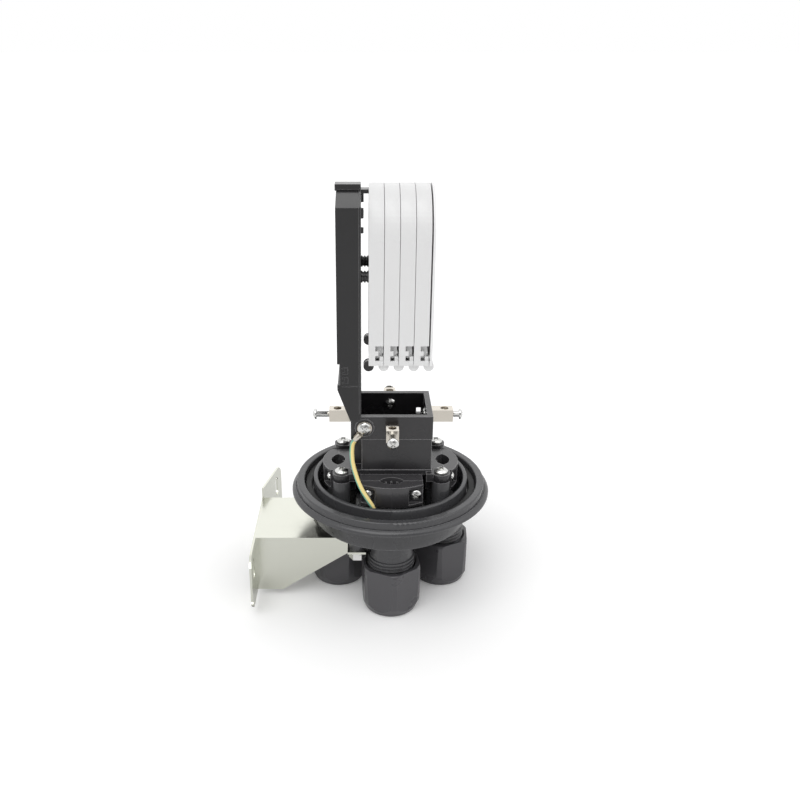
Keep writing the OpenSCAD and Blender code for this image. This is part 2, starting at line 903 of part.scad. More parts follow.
// Outline of a tray: straight foot, half-round top
module tray_face(inset = 0) {
    r = tray_r - inset;
    translate([0, z_tray_top - tray_r])
        circle(r, $fn = 128);
    translate([-r, z_tray + inset])
        square([2 * r, tray_h - tray_r - inset]);
}

// Hook that snaps on a pin: a ring with its mouth turned down and to the left
module hook(x) {
    mouth = pin_d * 0.72;
    difference() {
        union() {
            translate([x, -hook_l / 2, z_hinge])
                rod_y(barrel_d, hook_l, 48);
            translate([x, -hook_l / 2, z_hinge])
                cube([tray_wall, hook_l, barrel_d]);
        }
        translate([x, -hook_l, z_hinge])
            rod_y(pin_d + 2 * running, 2 * hook_l, 48);
        translate([x, 0, z_hinge])
            rotate([0, 215, 0])
                translate([-mouth / 2, -hook_l, 0])
                    cube([mouth, 2 * hook_l, barrel_d]);
    }
}

// Two cheeks with a pin between them, for the next tray's hook
module pin_pair(x) {
    for (side = [-1, 1])
        translate([x, side > 0 ? barrel_l / 2 - cheek_t : -barrel_l / 2, z_hinge])
            rod_y(barrel_d, cheek_t, 48);
    translate([x, -barrel_l / 2, z_hinge])
        rod_y(pin_d, barrel_l, 48);
}

// Arm that ties the cheeks to the tray on their left
module cheek_arms(x) {
    for (side = [-1, 1])
        translate([x - free_gap - 3, side > 0 ? barrel_l / 2 - cheek_t : -barrel_l / 2,
                   z_hinge])
            cube([3, cheek_t, barrel_d]);
}

// Half-round guide that the fibre is wound round
module fibre_guide(r, h) {
    difference() {
        cylinder(r = r, h = h, $fn = 64);
        translate([0, 0, -1])
            cylinder(r = r - tray_wall, h = h + 2, $fn = 64);
        translate([-r - 1, -4, -1])
            cube([2 * r + 2, 8, h + 2]);
    }
}

// Comb that holds the splice sleeves side by side
module splice_comb(h) {
    comb_l = 30;
    slots = 6;
    step = 5;
    for (i = [0 : slots])
        translate([-comb_l / 2, (i - slots / 2) * step - 0.6, 0])
            cube([comb_l, 1.2, h]);
    translate([-comb_l / 2, -slots / 2 * step, 0])
        cube([comb_l, slots * step, 1.6]);
}

// Inside of a tray, drawn with +Z away from its floor and +X up
module tray_inside() {
    depth = tray_t - tray_wall - 1.5;
    guide_r = 15;
    for (x = [tray_h * 0.2, tray_h * 0.78])
        translate([x, 0, 0])
            fibre_guide(guide_r, depth);
    translate([tray_h * 0.49, 0, 0])
        splice_comb(depth - 2);
}

module tray(i) {
    x0 = tray_x(i);
    x1 = x0 + tray_t;
    open_w = 6.6;
    tab_w = 2.5;
    baffle_y = tray_r - tray_wall - 4.2;
    color(tray_grey)
    difference() {
        union() {
            difference() {
                slab_x(x0, x1) tray_face();
                slab_x(x0 + tray_wall, x1 + 1) tray_face(tray_wall);
                // room for the knuckles at both lower corners
                for (y = [-hinge_y, hinge_y], x = [x0, tray_x(i + 1)])
                    translate([x, y - barrel_l / 2 - free_gap, z_hinge])
                        rod_y(barrel_d + 2 * free_gap, barrel_l + 2 * free_gap, 48);
                // stepped fibre entries in both side walls
                for (side = [-1, 1])
                    translate([x1 - open_w, side * tray_r - tray_wall - 1, z_tray + 4]) {
                        cube([open_w + 1, 2 * tray_wall + 2, 4.6]);
                        translate([0, 0, 8.5])
                            cube([open_w + 1, 2 * tray_wall + 2, 4.6]);
                        translate([tab_w, 0, 0])
                            cube([open_w + 1, 2 * tray_wall + 2, 13]);
                    }
            }
            // baffles behind the entries
            for (side = [-1, 1])
                translate([x0 + tray_wall - eps, side > 0 ? baffle_y : -baffle_y - 1.2,
                           z_tray + 5])
                    cube([tray_t - tray_wall - 1, 1.2, 10.8]);
            // tabs that keep the fibre under the rim
            for (y = [-1, 1], z = [34, 62, 90])
                translate([x1 - 1.4, y > 0 ? tray_r - 8 : -tray_r, z_tray + z])
                    cube([1.4, 8, 5]);
            translate([x0 + tray_wall - eps, 0, z_tray])
                rotate([0, -90, 0])
                    mirror([0, 0, 1])
                        tray_inside();
            for (y = [-hinge_y, hinge_y])
                translate([0, y, 0]) {
                    hook(x0);
                    pin_pair(tray_x(i + 1));
                    cheek_arms(tray_x(i + 1));
                }
        }
        // holes in the floor for the pegs of the carrier
        if (i == 1)
            for (y = [-peg_y, peg_y])
                translate([x0 - 1, y, z_peg])
                    rod_x(m3[2] + 0.1, tray_wall + 2);
    }
}

// Flat lid, hooked on the last tray and resting a little off its rim
module tray_lid() {
    lid_off = 0.8;
    x0 = tray_x(5);
    color(tray_grey)
    difference() {
        slab_x(x0 + lid_off, x0 + lid_off + tray_wall) tray_face();
        for (y = [-hinge_y, hinge_y])
            translate([x0, y - barrel_l / 2 - free_gap, z_hinge])
                rod_y(barrel_d + 2 * free_gap, barrel_l + 2 * free_gap, 48);
    }
    color(tray_grey)
    for (y = [-hinge_y, hinge_y])
        translate([0, y, 0])
            hook(x0);
}

// Loose pin blocks clipped into the first tray's own hooks
module pivot_bobbins() {
    color(frame_black)
    for (y = [-hinge_y, hinge_y])
        translate([0, y, 0])
            pin_pair(tray_x(1));
}

// ---------------------------------------------------------------- bracket

z_sheet = z_base - bracket_drop - sheet_t;
wall_x = -bracket_reach;

// Flat fork of the bracket, cut round the left port
module bracket_plate() {
    tongue_x = bolt_x + 7.5;
    difference() {
        union() {
            translate([wall_x, -bracket_half])
                square([bracket_reach - tongue_x, 2 * bracket_half]);
            for (side = [-1, 1])
                translate([-tongue_x - 1, side > 0 ? 26 : -bolt_y - 8])
                    square([16, bolt_y + 8 - 26]);
        }
        translate([-port_r, 0])
            circle(d = neck_d + 6, $fn = 96);
        translate([-port_r, -neck_d / 2 - 3])
            square([port_r, neck_d + 6]);
        for (side = [-1, 1])
            translate([-bolt_x, side * bolt_y])
                circle(d = 8.6, $fn = fine);
    }
}

// Ear with a slot for a strap or a wall screw, drawn from its fold outwards
module bracket_ear(l, low, high, slot_z) {
    r = 10;
    difference() {
        union() {
            translate([0, low])
                square([l - r, high - low]);
            translate([0, low + r])
                square([l, high - low - 2 * r]);
            for (z = [low + r, high - r])
                translate([l - r, z])
                    circle(r, $fn = 48);
        }
        translate([l - ear_slot, slot_z])
            rotate(90)
                slot(20, 6.5);
    }
}

// Turns an ear's outline into sheet, folded out from the end of a gusset
module folded_ear(side, turn) {
    translate([wall_x + sheet_t / 2, side * (bracket_half - sheet_t / 2), 0])
        rotate([90, 0, turn])
            linear_extrude(sheet_t, center = true)
                children();
}

module bracket() {
    gusset_low = z_ground + 6;
    far_ear_turn = 77;
    color(steel)
    union() {
        translate([0, 0, z_sheet])
            linear_extrude(sheet_t)
                bracket_plate();
        // gussets folded down along both edges
        for (side = [-1, 1])
            translate([0, side > 0 ? bracket_half : -bracket_half + sheet_t, 0])
                rotate([90, 0, 0])
                    linear_extrude(sheet_t)
                        polygon([[wall_x, gusset_low], [wall_x + 25, gusset_low],
                                 [-bolt_x - 6, z_sheet - 12], [-bolt_x - 6, z_sheet + 1],
                                 [wall_x, z_sheet + 1]]);
        // near ear, square to the gusset, and far ear, opened out a little
        folded_ear(-1, -90)
            bracket_ear(near_ear, gusset_low, z_sheet + sheet_t, z_sheet - 18);
        folded_ear(1, far_ear_turn)
            bracket_ear(far_ear, gusset_low, z_sheet + 13, z_sheet - 5);
    }
}

module bracket_bolts() {
    head = 5.5;
    color(zinc)
    for (y = [-bolt_y, bolt_y])
        translate([-bolt_x, y, z_sheet - 1.6 - head]) {
            cylinder(d = 13 / cos(30), h = head, $fn = 6);
            translate([0, 0, head - eps])
                cylinder(d = 8, h = 1.6 + sheet_t + bracket_drop + 2, $fn = fine);
        }
}

module bracket_washers() {
    color(zinc)
    for (y = [-bolt_y, bolt_y])
        translate([-bolt_x, y, z_sheet - 1.6])
            difference() {
                cylinder(d = 15.4, h = 1.6, $fn = 48);
                translate([0, 0, -1])
                    cylinder(d = 8.4, h = 4, $fn = fine);
            }
}

// ---------------------------------------------------------------- nodes

module gland_nut_front() { gland_nut(FRONT); }
module gland_nut_left() { gland_nut(LEFT); }
module gland_nut_back() { gland_nut(BACK); }
module gland_nut_right() { gland_nut(RIGHT); }
module gland_seal_front() { gland_seal(FRONT); }
module gland_seal_left() { gland_seal(LEFT); }
module gland_seal_back() { gland_seal(BACK); }
module gland_seal_right() { gland_seal(RIGHT); }
module inner_jaw_front() { inner_jaw(FRONT); }
module inner_jaw_left() { inner_jaw(LEFT); }
module inner_jaw_back() { inner_jaw(BACK); }
module inner_jaw_right() { inner_jaw(RIGHT); }
module outer_jaw_front() { outer_jaw(FRONT); }
module outer_jaw_left() { outer_jaw(LEFT); }
module outer_jaw_back() { outer_jaw(BACK); }
module outer_jaw_right() { outer_jaw(RIGHT); }
module strength_post_front() { strength_post(FRONT); }
module strength_post_left() { strength_post(LEFT); }
module strength_post_back() { strength_post(BACK); }
module strength_post_right() { strength_post(RIGHT); }
module tray_1() { tray(1); }
module tray_2() { tray(2); }
module tray_3() { tray(3); }
module tray_4() { tray(4); }

base_body();
seal_ring();
gland_nut_front();
gland_nut_left();
gland_nut_back();
gland_nut_right();
gland_seal_front();
gland_seal_left();
gland_seal_back();
gland_seal_right();
gland_washers();
inner_jaw_front();
inner_jaw_left();
inner_jaw_back();
inner_jaw_right();
outer_jaw_front();
outer_jaw_left();
outer_jaw_back();
outer_jaw_right();
jaw_screws();
support_frame();
frame_screws();
strength_post_front();
strength_post_left();
strength_post_back();
strength_post_right();
post_fixing_screws();
post_clamp_screws();
earth_screw();
earth_lug();
earth_wire();
earth_terminal();
slack_carrier();
carrier_screws();
spacer_pegs();
top_clip();
tray_1();
tray_2();
tray_3();
tray_4();
tray_lid();
pivot_bobbins();
bracket();
bracket_bolts();
bracket_washers();
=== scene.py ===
# %% [markdown]
# # An open fibre closure, dressed for its picture
#
# The closure stands on its four cable glands with its dome taken off.  Every rigid
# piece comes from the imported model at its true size.  This notebook gives each one
# the finish of its real material, dresses the earth lead in its striped jacket, softens
# the edges and sets up a plain studio.

import math

import bpy
import numpy as np
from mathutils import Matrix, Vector


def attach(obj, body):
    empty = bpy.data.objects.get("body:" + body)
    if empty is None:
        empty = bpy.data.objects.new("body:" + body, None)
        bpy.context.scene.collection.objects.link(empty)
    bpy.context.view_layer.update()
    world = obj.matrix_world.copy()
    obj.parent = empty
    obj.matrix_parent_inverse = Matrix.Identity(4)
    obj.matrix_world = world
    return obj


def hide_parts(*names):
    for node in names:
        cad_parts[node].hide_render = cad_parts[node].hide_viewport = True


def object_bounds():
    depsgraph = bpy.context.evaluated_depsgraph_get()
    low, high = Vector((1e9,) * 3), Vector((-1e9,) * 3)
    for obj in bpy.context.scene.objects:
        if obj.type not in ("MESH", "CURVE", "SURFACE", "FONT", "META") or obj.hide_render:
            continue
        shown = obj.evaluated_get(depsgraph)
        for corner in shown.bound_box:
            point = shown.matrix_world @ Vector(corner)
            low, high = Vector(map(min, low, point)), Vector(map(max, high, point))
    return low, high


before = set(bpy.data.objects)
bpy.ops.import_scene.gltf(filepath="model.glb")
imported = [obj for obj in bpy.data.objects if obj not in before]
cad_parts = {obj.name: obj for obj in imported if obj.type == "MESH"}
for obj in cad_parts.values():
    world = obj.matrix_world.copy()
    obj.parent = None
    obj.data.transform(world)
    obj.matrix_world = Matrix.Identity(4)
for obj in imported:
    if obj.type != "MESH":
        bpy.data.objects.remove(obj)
scene = bpy.context.scene
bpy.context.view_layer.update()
MM = 0.001

# %% [markdown]
# ## Camera
#
# The view looks down at the closure from the front.  A moderate lens at arm's length
# gives the gentle perspective of a product picture.  The place is measured from the
# dome seat, which is the frame's origin.

# %% Camera
CAMERA_PLACE = Vector((-23.2, -696.0, 366.7)) * MM
CAMERA_DOWN = math.radians(22.7)
CAMERA_LENS = 38.25
SENSOR_WIDTH = 36.0
# The closure stands a little left of the middle of the lens, so the frame is shifted.
CAMERA_SHIFT = 35 / 800

camera_data = bpy.data.cameras.new("studio_camera")
camera_data.lens = CAMERA_LENS
camera_data.sensor_width = SENSOR_WIDTH
camera_data.shift_x = CAMERA_SHIFT
camera_data.clip_start = 0.01
camera = bpy.data.objects.new("studio_camera", camera_data)
camera.location = CAMERA_PLACE
camera.rotation_euler = (math.pi / 2 - CAMERA_DOWN, 0.0, 0.0)
scene.collection.objects.link(camera)
scene.camera = camera
print("camera at", [round(v, 3) for v in camera.location])

# %% [markdown]
# ## Two helpers
#
# Colours are easiest to read as the hex codes of a paint chart, but shaders work in
# linear light, so one function turns the one into the other.  Node trees are built
# with one small function that adds a node, sets its values and links its inputs.

# %% Helpers


def linear(code):
    """An sRGB hex code such as "8A8A8C" as the linear RGBA that shaders use."""
    srgb = np.array([int(code[i : i + 2], 16) for i in (0, 2, 4)]) / 255
    curve = ((srgb + 0.055) / 1.055) ** 2.4
    return (*np.where(srgb <= 0.04045, srgb / 12.92, curve).tolist(), 1.0)


def add_node(tree, kind, settings=(), links=()):
    """Adds a node; settings and links are pairs of (input or property, value or socket)."""
    node = tree.nodes.new(kind)
    for name, value in settings:
        if isinstance(name, int) or name in node.inputs:
            node.inputs[name].default_value = value
        else:
            setattr(node, name, value)
    for name, socket in links:
        tree.links.new(socket, node.inputs[name])
    return node


def new_material(name, shader_settings):
    """An empty material with a Principled shader, and its tree, shader and coordinates."""
    material = bpy.data.materials.new(name)
    material.use_nodes = True
    tree = material.node_tree
    tree.nodes.clear()
    shader = add_node(tree, "ShaderNodeBsdfPrincipled", shader_settings)
    output = add_node(tree, "ShaderNodeOutputMaterial")
    tree.links.new(shader.outputs["BSDF"], output.inputs["Surface"])
    place = add_node(tree, "ShaderNodeTexCoord").outputs["Object"]
    return material, tree, shader, place


# %% [markdown]
# ## Moulded plastics
#
# Injection-moulded parts take the fine spark-eroded grain of their tool.  It breaks
# up reflections rather than showing as dots, so each plastic has a bump of tiny
# cells and a broad and very faint unevenness of gloss, and its edges carry a painted
# highlight: a paler colour along them that stands in for a thin line of light.  The
# trays are light-grey ABS and their lid is a whiter one, the base is black
# polypropylene, the frame, jaws and nuts are black glass-filled nylon, and the tall
# carrier is a deeper black ABS with a polished face.  Gloss and grain are the same two
# patterns on every plastic and metal here, so each has a helper of its own.

# %% Gloss and grain


def drifting_gloss(tree, shader, place, patch_mm, noise, smoothest, roughest):
    """Roughness that drifts between two values in patches of patch_mm.

    The value is a noise of the place, stretched so that its middle part fills the range;
    noise is the pair (detail, roughness) of that noise.
    """
    drift = add_node(
        tree,
        "ShaderNodeTexNoise",
        [("Scale", 1 / (patch_mm * MM)), ("Detail", noise[0]), ("Roughness", noise[1])],
        [("Vector", place)],
    )
    gloss = add_node(
        tree,
        "ShaderNodeMapRange",
        [("From Min", 0.3), ("From Max", 0.7), ("To Min", smoothest), ("To Max", roughest)],
        [("Value", drift.outputs["Fac"])],
    )
    tree.links.new(gloss.outputs["Result"], shader.inputs["Roughness"])


def fine_grain(tree, shader, place, grain_mm, depth_mm):
    """Bump of cells grain_mm wide and depth_mm deep: the height is a noise of the place."""
    grain = add_node(
        tree,
        "ShaderNodeTexNoise",
        [("Scale", 1 / (grain_mm * MM)), ("Detail", 2.0)],
        [("Vector", place)],
    )
    bump = add_node(
        tree,
        "ShaderNodeBump",
        [("Strength", 0.3), ("Distance", depth_mm * MM)],
        [("Height", grain.outputs["Fac"])],
    )
    tree.links.new(bump.outputs["Normal"], shader.inputs["Normal"])


# %% Moulded plastics
PLASTIC_PATCH_MM = 25


def moulded_plastic(
    name, colour, edge_highlight_colour, roughness, grain_mm, grain_depth, ior=1.49, edge_mm=0.4
):
    """Plastic with a grain of grain_mm, gloss that drifts in patches and paler edges.

    The edges are where the normal, averaged over edge_mm, turns away from the true one; there
    the colour turns paler, a painted highlight.
    """
    material, tree, shader, place = new_material(name, [("IOR", ior)])
    drifting_gloss(
        tree, shader, place, PLASTIC_PATCH_MM, (3.0, 0.55), roughness - 0.05, roughness + 0.06
    )
    true_side = add_node(tree, "ShaderNodeNewGeometry").outputs["Normal"]
    round_side = add_node(tree, "ShaderNodeBevel", [("samples", 8), ("Radius", edge_mm * MM)])
    turn = add_node(
        tree,
        "ShaderNodeVectorMath",
        [("operation", "DOT_PRODUCT")],
        [(0, true_side), (1, round_side.outputs["Normal"])],
    )
    # paler colour along the edges: a painted highlight, a thin line of light painted into the
    # colour
    edge = add_node(
        tree,
        "ShaderNodeMapRange",
        [("From Min", 0.985), ("From Max", 0.9)],
        [("Value", turn.outputs["Value"])],
    )
    paint = add_node(
        tree,
        "ShaderNodeMix",
        [("data_type", "RGBA"), (6, linear(colour)), (7, linear(edge_highlight_colour))],
        [(0, edge.outputs["Result"])],
    )
    tree.links.new(paint.outputs[2], shader.inputs["Base Color"])
    fine_grain(tree, shader, place, grain_mm, grain_depth)
    return material


# the second colour of each plastic is its painted edge highlight
tray_abs = moulded_plastic("light_grey_abs", "E6E6E6", "F4F4F4", 0.34, 0.45, 0.008, 1.53, 0.25)
lid_abs = moulded_plastic("white_abs", "F2F2F2", "F8F8F8", 0.34, 0.45, 0.006, 1.53, 0.25)
base_pp = moulded_plastic("black_polypropylene", "434345", "8E8E90", 0.27, 0.5, 0.006, 1.52, 0.6)
frame_nylon = moulded_plastic(
    "black_glass_filled_nylon", "2B2A2C", "9A999B", 0.25, 0.6, 0.005, 1.53, 0.8
)
jaw_nylon = moulded_plastic("black_jaw_nylon", "434244", "9A999B", 0.24, 0.6, 0.005, 1.53, 0.8)
carrier_abs = moulded_plastic("black_gloss_abs", "121113", "6A696B", 0.2, 0.6, 0.005, 1.53, 0.7)
nut_nylon = moulded_plastic("black_nut_nylon", "4A494C", "747376", 0.3, 0.5, 0.006, 1.53, 0.6)
seal_epdm = moulded_plastic("black_epdm_rubber", "1C1C1C", "2A2A2A", 0.62, 0.8, 0.02, 1.5)
print("plastics made")

# %% [markdown]
# ## Metals
#
# Three metals show.  The screws are bright zinc plate, a little cloudy.  The posts and
# the lug are nickel plate over brass, which is warmer and more mirror-like.  The
# bracket is stainless sheet with the fine satin of its rolling, drawn as noise that
# is stretched along the rolling direction, and with a faint cloud of handling marks.

# %% Metals
METAL_PATCH_MM = 12


def plated_metal(name, colour, roughness, cloud, stretch=(1, 1, 1), grain_mm=0.4, depth=0.004):
    """Metal whose roughness drifts by cloud in patches and whose grain can be stretched."""
    material, tree, shader, place = new_material(
        name, [("Base Color", linear(colour)), ("Metallic", 1.0)]
    )
    drifting_gloss(
        tree, shader, place, METAL_PATCH_MM, (4.0, 0.6), roughness - cloud, roughness + cloud
    )
    along = add_node(tree, "ShaderNodeMapping", [("Scale", stretch)], [("Vector", place)])
    fine_grain(tree, shader, along.outputs["Vector"], grain_mm, depth)
    return material


bright_zinc = plated_metal("bright_zinc_plate", "DADAD8", 0.2, 0.05)
nickel_plate = plated_metal("nickel_plated_brass", "CCC6BC", 0.18, 0.05)
stainless = plated_metal(
    "satin_stainless_sheet", "D2D3C9", 0.22, 0.04, (0.05, 1, 1), 0.3, 0.003
)
print("metals made")

# %% [markdown]
# ## Earth lead
#
# The earth lead is a thin stranded wire in a smooth vinyl jacket, yellow with a green
# stripe along it.  It leaves the lug's barrel, hangs in one slack bow over the front
# jaw and drops to the terminal on the base's floor.  A curve with a bevel would give
# the tube but no way to lay a stripe on one side of it, so the jacket is worked out as
# a surface with its own UV map: one axis runs along the wire, the other round it.

# %% Earth lead
WIRE_MM = 4.0
LEAD = np.array(
    [
        [-31.8, -34.3, 51.9], [-33.6, -34.5, 49.6], [-34.4, -36.4, 45.3],
        [-34.4, -40.0, 39.7], [-33.6, -43.5, 34.1], [-31.8, -47.5, 28.5],
        [-29.2, -52.0, 22.1], [-25.8, -56.0, 15.8], [-21.4, -59.4, 9.4],
        [-17.2, -60.8, 3.0], [-15.4, -60.8, -3.0], [-16.4, -59.4, -9.0],
        [-20.0, -56.6, -15.0], [-23.6, -53.0, -20.0], [-24.5, -52.0, -23.0],
        [-24.5, -52.0, -25.4],
    ]
)


def smooth_path(points, steps):
    """Catmull-Rom curve through the points: each span is a cubic whose slopes at its
    two ends are half the difference of the neighbours on either side."""
    padded = np.vstack([2 * points[0] - points[1], points, 2 * points[-1] - points[-2]])
    t = np.linspace(0, 1, steps, endpoint=False)[None, :, None]
    a, b, c, d = (padded[k : len(padded) - 3 + k][:, None, :] for k in range(4))
    bend = 2 * a - 5 * b + 4 * c - d
    twist = 3 * b - a - 3 * c + d
    spans = 0.5 * (2 * b + (c - a) * t + bend * t**2 + twist * t**3)
    return np.vstack([spans.reshape(-1, 3), points[-1]])


def unit(vectors):
    """Each row scaled to length one."""
    return vectors / np.linalg.norm(vectors, axis=-1, keepdims=True)


def tube(name, path_mm, radius_mm, around=24, lead_side=(0.0, 1.0, 0.2)):
    """Closed tube: ring k is path + radius * (cos a * u + sin a * v), with u square to the
    path and to lead_side, and v square to both.  UV is (length along, share round)."""
    along = unit(np.gradient(path_mm, axis=0))
    u = unit(np.cross(along, np.array(lead_side)))
    v = np.cross(along, u)
    angle = np.linspace(0, 2 * math.pi, around, endpoint=False)[None, :, None]
    radius = np.broadcast_to(radius_mm, len(path_mm))[:, None, None]
    rings = path_mm[:, None] + radius * (np.cos(angle) * u[:, None] + np.sin(angle) * v[:, None])
    count = len(path_mm)
    points = np.vstack([rings.reshape(-1, 3), path_mm[:1], path_mm[-1:]]) * MM
    i, k = np.meshgrid(np.arange(count - 1), np.arange(around), indexing="ij")
    nxt = (k + 1) % around
    near, far_ring = i * around, (i + 1) * around
    quads = np.stack([near + k, near + nxt, far_ring + nxt, far_ring + k], -1)
    ring = np.arange(around)
    last = (count - 1) * around
    ring_next = (ring + 1) % around
    first_pole = np.full(around, count * around)
    first_cap = np.stack([first_pole, ring_next, ring], -1)
    last_cap = np.stack([first_pole + 1, last + ring, last + ring_next], -1)
    faces = quads.reshape(-1, 4).tolist() + first_cap.tolist() + last_cap.tolist()
    mesh = bpy.data.meshes.new(name)
    mesh.from_pydata(points.tolist(), [], faces)
    steps = np.linalg.norm(np.diff(path_mm, axis=0), axis=1)
    length = np.concatenate([[0], np.cumsum(steps)])
    share = np.stack([k, k + 1, k + 1, k], -1) / around
    far = np.stack([length[i], length[i], length[i + 1], length[i + 1]], -1)
    corners = np.stack([far, share], -1).reshape(-1, 2)
    uv = np.vstack([corners, np.zeros((len(mesh.loops) - len(corners), 2))])
    mesh.uv_layers.new(name="along_and_round").data.foreach_set("uv", uv.ravel())
    mesh.polygons.foreach_set("use_smooth", np.ones(len(mesh.polygons), bool))
    piece = bpy.data.objects.new(name, mesh)
    scene.collection.objects.link(piece)
    return piece, length[-1]


lead_path = smooth_path(LEAD, 8)
earth_jacket, lead_length = tube("earth_jacket", lead_path, WIRE_MM / 2)
print("earth lead", round(lead_length, 1), "mm long")

# %% [markdown]
# ## Vinyl for the jacket
#
# Soft PVC is extruded in yellow with a green strip fed in beside it, so the border
# between the two is clean but not quite straight.  The share round the wire picks the
# colour, a little noise along the wire makes the border wander, and the strip turns
# slowly round the wire because the core is twisted.

# %% Vinyl for the jacket
# the middle of the strip as a share of the way round, its twist per millimetre, and how
# far its border wanders and over what length
STRIPE_AT = 0.57
TWIST_PER_MM = 0.002
WANDER = 0.05
WANDER_MM = 9

wire_vinyl, vinyl_tree, vinyl_shader, vinyl_place = new_material(
    "yellow_green_vinyl", [("Roughness", 0.34), ("IOR", 1.53)]
)
jacket_uv = add_node(vinyl_tree, "ShaderNodeUVMap", [("uv_map", "along_and_round")])
jacket_axes = add_node(vinyl_tree, "ShaderNodeSeparateXYZ", [], [(0, jacket_uv.outputs["UV"])])
wander = add_node(
    vinyl_tree,
    "ShaderNodeTexNoise",
    [("Scale", 1 / (WANDER_MM * MM)), ("Detail", 2.0)],
    [("Vector", vinyl_place)],
)
turned = add_node(
    vinyl_tree,
    "ShaderNodeMath",
    [("operation", "MULTIPLY_ADD"), (1, TWIST_PER_MM)],
    [(0, jacket_axes.outputs["X"]), (2, jacket_axes.outputs["Y"])],
)
shifted = add_node(
    vinyl_tree,
    "ShaderNodeMath",
    [("operation", "MULTIPLY_ADD"), (1, WANDER)],
    [(0, wander.outputs["Fac"]), (2, turned.outputs[0])],
)
from_stripe = add_node(
    vinyl_tree,
    "ShaderNodeMath",
    [("operation", "SUBTRACT"), (1, STRIPE_AT)],
    [(0, shifted.outputs[0])],
)
wrapped = add_node(
    vinyl_tree,
    "ShaderNodeMath",
    [("operation", "PINGPONG"), (1, 0.5)],
    [(0, from_stripe.outputs[0])],
)
stripe = add_node(
    vinyl_tree,
    "ShaderNodeMapRange",
    [("From Min", 0.2), ("From Max", 0.17)],
    [("Value", wrapped.outputs[0])],
)
vinyl_paint = add_node(
    vinyl_tree,
    "ShaderNodeMix",
    [("data_type", "RGBA"), (6, linear("F2DC93")), (7, linear("7DBFA6"))],
    [(0, stripe.outputs["Result"])],
)
vinyl_tree.links.new(vinyl_paint.outputs[2], vinyl_shader.inputs["Base Color"])
earth_jacket.data.materials.append(wire_vinyl)
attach(earth_jacket, "closure_base")
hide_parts("earth_wire")

# %% [markdown]
# ## Giving each piece its finish
#
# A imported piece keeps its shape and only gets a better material.  Names tell which:
# everything that starts with tray is ABS, every screw is zinc plate, and so on.

# %% Finishes by name
FINISHES = [
    ("tray_lid", lid_abs),
    ("tray_", tray_abs),
    ("gland_nut", nut_nylon),
    ("gland_seal", seal_epdm),
    ("seal_ring", seal_epdm),
    ("base_body", base_pp),
    ("earth_screw", bright_zinc),
    ("earth_wire", wire_vinyl),
    ("earth_", nickel_plate),
    ("strength_post", nickel_plate),
    ("inner_jaw", jaw_nylon),
    ("outer_jaw", jaw_nylon),
    ("slack_carrier", carrier_abs),
    ("spacer_pegs", carrier_abs),
    ("top_clip", carrier_abs),
    ("pivot_bobbins", carrier_abs),
    ("post_", bright_zinc),
    ("bracket_", bright_zinc),
    ("bracket", stainless),
]


def finish_of(node_name):
    """The first finish whose start fits the name; screws are zinc and the rest nylon."""
    if node_name.endswith("screws"):
        return bright_zinc
    for start, material in FINISHES:
        if node_name.startswith(start):
            return material
    return frame_nylon


for node_name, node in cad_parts.items():
    node.data.materials.clear()
    node.data.materials.append(finish_of(node_name))

# %% [markdown]
# ## Soft edges
#
# Nothing moulded or machined has a knife edge, and a thin line of light along each
# edge is what makes a part look real.  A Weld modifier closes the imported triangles,
# and a Bevel modifier then rounds every edge that turns by more than its angle.

# %% Soft edges
EDGE_ANGLE = math.radians(38)
EDGE_WIDTHS = {"tray": 0.3, "base": 0.4, "gland_nut": 0.5, "bracket": 0.25, "slack": 0.5}
EDGE_DEFAULT = 0.25


def soften(node, width_mm):
    """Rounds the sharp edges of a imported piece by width_mm."""
    weld = node.modifiers.new("weld", "WELD")
    weld.merge_threshold = 0.00001
    bevel = node.modifiers.new("soft_edges", "BEVEL")
    bevel.limit_method = "ANGLE"
    bevel.angle_limit = EDGE_ANGLE
    bevel.width = width_mm * MM
    bevel.segments = 2
    bevel.use_clamp_overlap = True
    bevel.harden_normals = True


for node_name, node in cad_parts.items():
    if node_name == "earth_wire":  # stands behind its jacket
        continue
    starts = [w for start, w in EDGE_WIDTHS.items() if node_name.startswith(start)]
    soften(node, starts[0] if starts else EDGE_DEFAULT)

# %% [markdown]
# ## Studio
#
# A wide pale floor and a white surround.  Lamps that stand close would leave a bright
# pool on the floor, so the light comes from far away: three broad suns, each as wide
# as a large softbox, and the surround itself.  Together they light a white card to white
# and no more.  To the camera the surround is plain white.  Reflections also see white
# above, behind and beside the closure, but a darker room round the camera, which is
# what gives black plastic its depth and metal its dark bands.

# %% Studio
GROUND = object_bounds()[0][2]
WHITE = (1.0, 1.0, 1.0, 1.0)
FLOOR_SIZE = 60


def soft_sun(name, towards, width_deg, strength):
    """Parallel light that travels along towards, as soft as a lamp width_deg wide."""
    data = bpy.data.lights.new(name, "SUN")
    data.angle = math.radians(width_deg)
    data.energy = strength
    lamp = bpy.data.objects.new(name, data)
    lamp.rotation_euler = Vector(towards).to_track_quat("-Z", "Y").to_euler()
    scene.collection.objects.link(lamp)
    return lamp


soft_sun("high_softbox", (0.25, 0.5, -1.0), 50, 1.1)
soft_sun("side_softbox", (-0.6, 0.25, -0.7), 60, 0.35)
soft_sun("rear_softbox", (0.0, -0.8, -0.5), 40, 0.12)

world = bpy.data.worlds.new("studio_surround")
scene.world = world
world.use_nodes = True
air = world.node_tree
air.nodes.clear()
towards = add_node(air, "ShaderNodeTexCoord").outputs["Generated"]
sides = add_node(air, "ShaderNodeSeparateXYZ", [], [(0, towards)])
# 1 at the sides and behind, 0 where the room is dark round the camera
behind = add_node(
    air,
    "ShaderNodeMapRange",
    [("interpolation_type", "SMOOTHSTEP"), ("From Min", -0.93), ("From Max", -0.35)],
    [("Value", sides.outputs["Y"])],
)
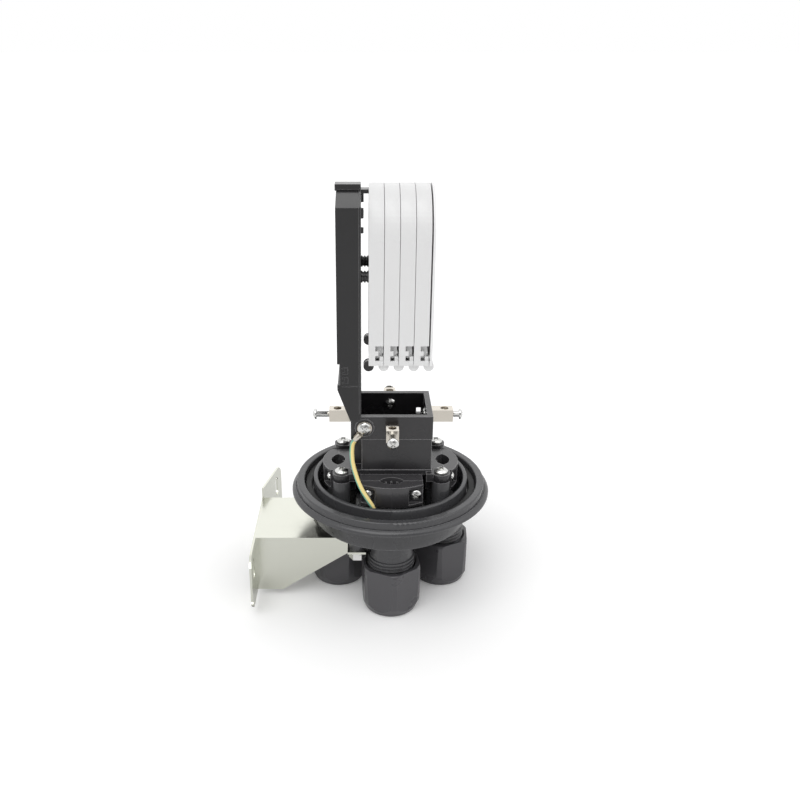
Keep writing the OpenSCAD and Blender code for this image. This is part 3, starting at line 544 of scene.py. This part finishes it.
# 1 overhead
overhead = add_node(
    air,
    "ShaderNodeMapRange",
    [("interpolation_type", "SMOOTHSTEP"), ("From Min", 0.45), ("From Max", 0.8)],
    [("Value", sides.outputs["Z"])],
)
# a tall white card stands just left of the camera
left_card = add_node(
    air,
    "ShaderNodeMapRange",
    [
        ("interpolation_type", "SMOOTHSTEP"),
        ("From Min", 0.1),
        ("From Max", -0.08),
        ("To Max", 0.35),
    ],
    [("Value", sides.outputs["X"])],
)
wide = add_node(
    air,
    "ShaderNodeMath",
    [("operation", "MAXIMUM")],
    [(0, behind.outputs[0]), (1, overhead.outputs[0])],
)
bright = add_node(
    air,
    "ShaderNodeMath",
    [("operation", "MAXIMUM")],
    [(0, wide.outputs[0]), (1, left_card.outputs[0])],
)


def surround_level(dark, light):
    """Background whose strength runs from dark by the camera to light elsewhere."""
    level = add_node(
        air,
        "ShaderNodeMapRange",
        [("To Min", dark), ("To Max", light)],
        [("Value", bright.outputs[0])],
    )
    return add_node(
        air, "ShaderNodeBackground", [("Color", WHITE)], [("Strength", level.outputs[0])]
    )


path = add_node(air, "ShaderNodeLightPath")
lit = surround_level(0.44, 0.62)
mirrored = surround_level(0.16, 1.05)
white = add_node(air, "ShaderNodeBackground", [("Color", WHITE), ("Strength", 1.0)])
surround = add_node(
    air,
    "ShaderNodeMixShader",
    [],
    [(0, path.outputs["Is Glossy Ray"]), (1, lit.outputs[0]), (2, mirrored.outputs[0])],
)
surround = add_node(
    air,
    "ShaderNodeMixShader",
    [],
    [(0, path.outputs["Is Camera Ray"]), (1, surround.outputs[0]), (2, white.outputs[0])],
)
add_node(air, "ShaderNodeOutputWorld", [], [("Surface", surround.outputs[0])])

# %% Floor
bpy.ops.mesh.primitive_plane_add(size=FLOOR_SIZE, location=(0, FLOOR_SIZE / 3, GROUND))
floor = bpy.context.object
floor.name = "studio_floor"
floor_white = bpy.data.materials.new("matt_white_paper")
floor_white.use_nodes = True
floor_tree = floor_white.node_tree
floor_tree.nodes.clear()
paper = add_node(floor_tree, "ShaderNodeBsdfDiffuse", [("Color", (0.96, 0.96, 0.96, 1))])
# to the camera the paper glows, and less close to the closure: the dimmer glow there is a
# painted shadow round the closure's foot
paper_place = add_node(floor_tree, "ShaderNodeTexCoord").outputs["Object"]
from_foot = add_node(
    floor_tree,
    "ShaderNodeVectorMath",
    [("operation", "DISTANCE"), (1, (0.0, -FLOOR_SIZE / 3, 0.0))],
    [(0, paper_place)],
)
# the glow rises with distance from the foot, so a painted shadow lies round it
glow_dimmed_by_painted_shadow = add_node(
    floor_tree,
    "ShaderNodeMapRange",
    [("From Min", 0.09), ("From Max", 0.26), ("To Min", 0.07), ("To Max", 0.2)],
    [("Value", from_foot.outputs["Value"])],
)
seen_direct = add_node(floor_tree, "ShaderNodeLightPath")
glow_level = add_node(
    floor_tree,
    "ShaderNodeMath",
    [("operation", "MULTIPLY")],
    [(0, seen_direct.outputs["Is Camera Ray"]), (1, glow_dimmed_by_painted_shadow.outputs["Result"])],
)
glow = add_node(floor_tree, "ShaderNodeEmission", [], [("Strength", glow_level.outputs[0])])
floor_sum = add_node(
    floor_tree, "ShaderNodeAddShader", [], [(0, paper.outputs[0]), (1, glow.outputs[0])]
)
add_node(floor_tree, "ShaderNodeOutputMaterial", [], [("Surface", floor_sum.outputs[0])])
floor.data.materials.append(floor_white)

scene.view_settings.view_transform = "Standard"
